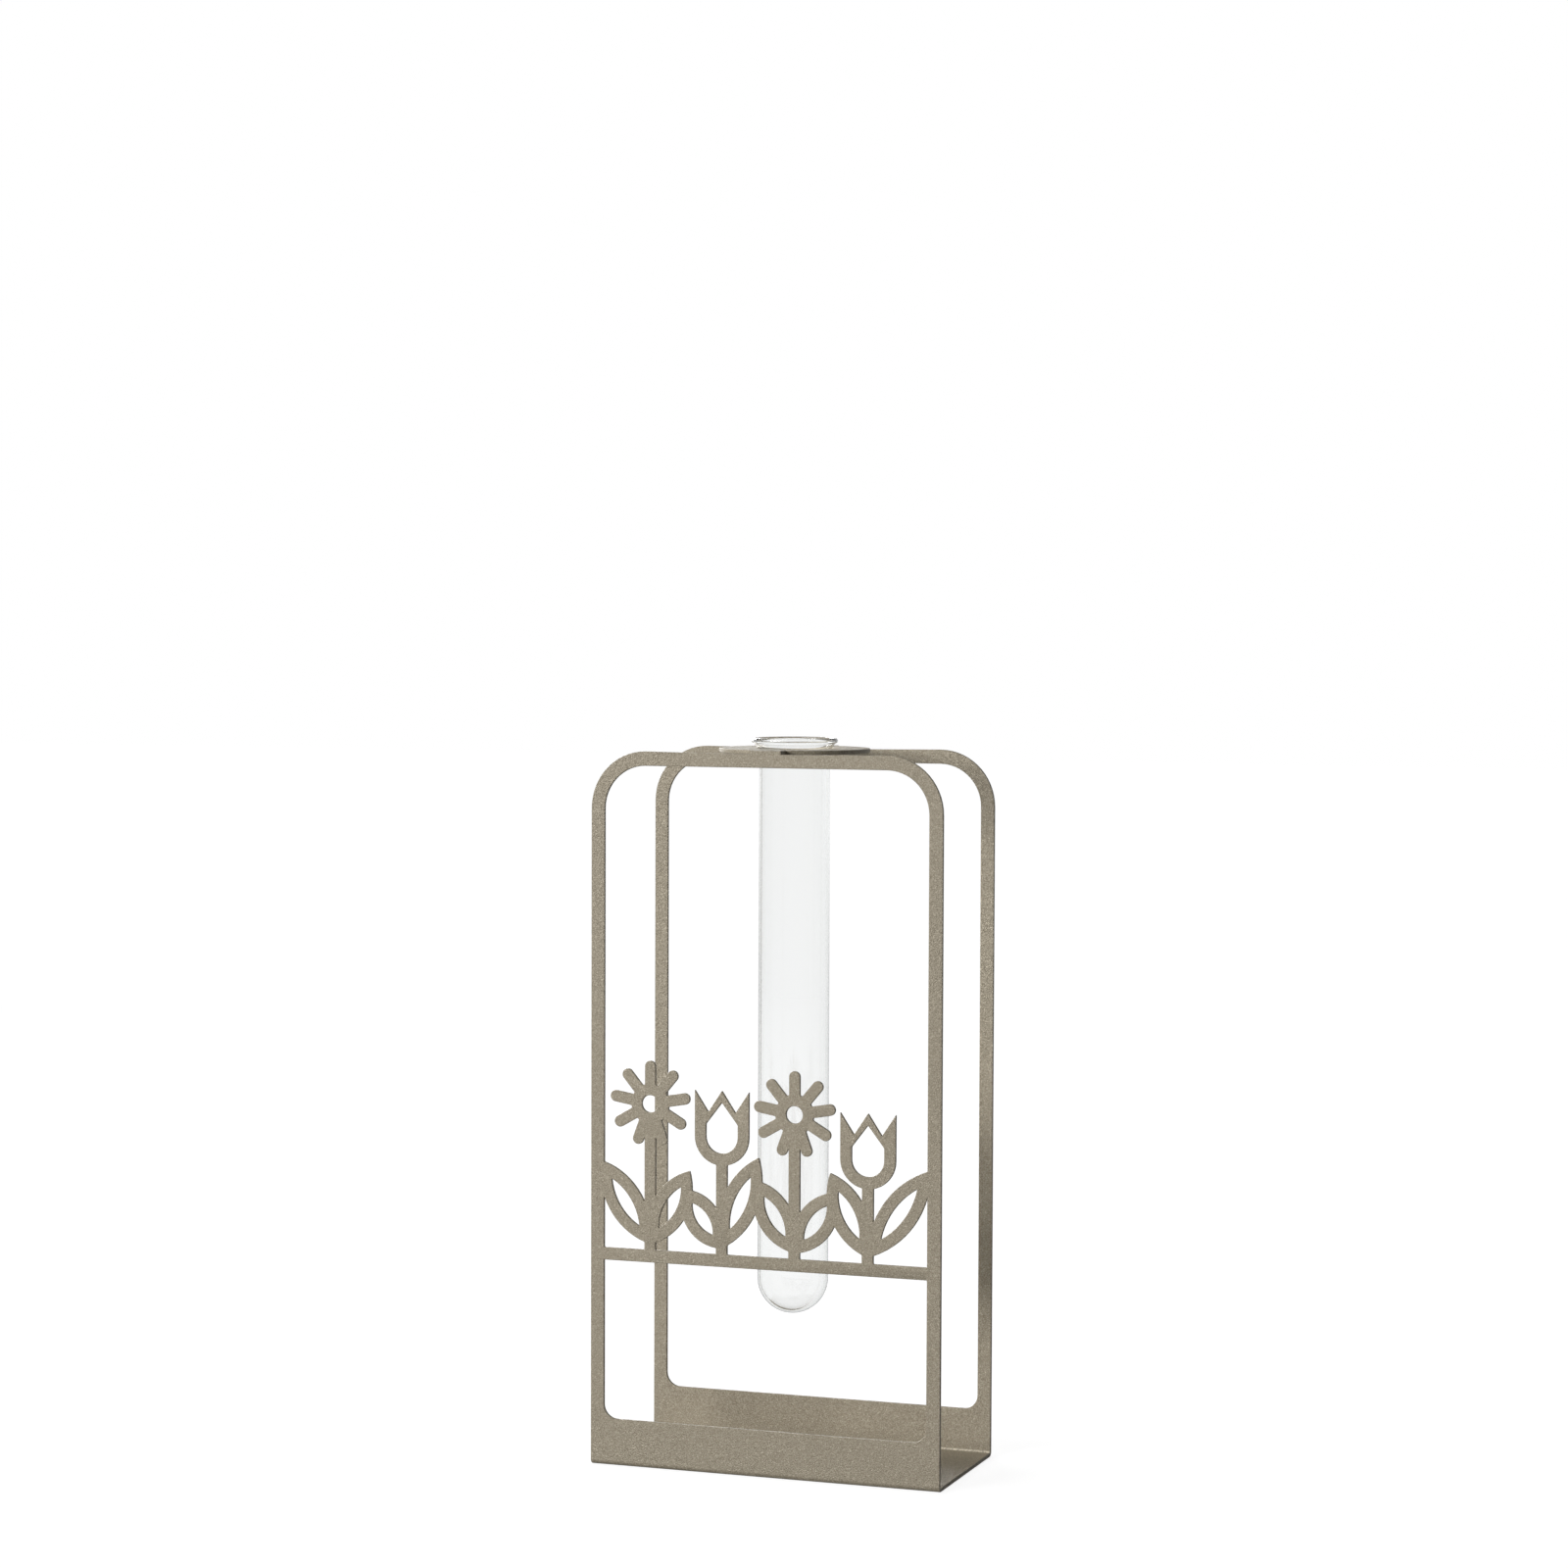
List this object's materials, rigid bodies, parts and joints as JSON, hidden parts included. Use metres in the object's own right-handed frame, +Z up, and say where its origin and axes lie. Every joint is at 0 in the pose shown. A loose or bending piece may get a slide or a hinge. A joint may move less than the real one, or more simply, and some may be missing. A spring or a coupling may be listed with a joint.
{
  "type": "vase",
  "caption": "Bud vase: a glass test tube hung by its lip in a round holder plate on a U-bent sheet-steel stand with a cut-out meadow.",
  "frame": {"origin": "on the table, at the middle of the stand's footprint", "axes": "+Z up along the tube, +X to the right of someone who faces the ornament, which is on the -Y side"},
  "size_m": [0.128, 0.0614, 0.2544],
  "materials": {
    "powder_coat": "fine-textured metallic powder coat in champagne grey",
    "powder_coat_plate": "fine-textured metallic powder coat in champagne grey",
    "clear_glass": "clear, polished"
  },
  "bodies": {
    "stand": {"bent_stand": "powder_coat", "holder_plate": "powder_coat_plate"},
    "tube": {"glass_tube": "clear_glass"}
  },
  "joints": [
    {"name": "tube_lift", "type": "slide", "parent": "stand", "child": "tube", "axis": [0, 0, 1], "range_m": [0, 0.205]}
  ]
}
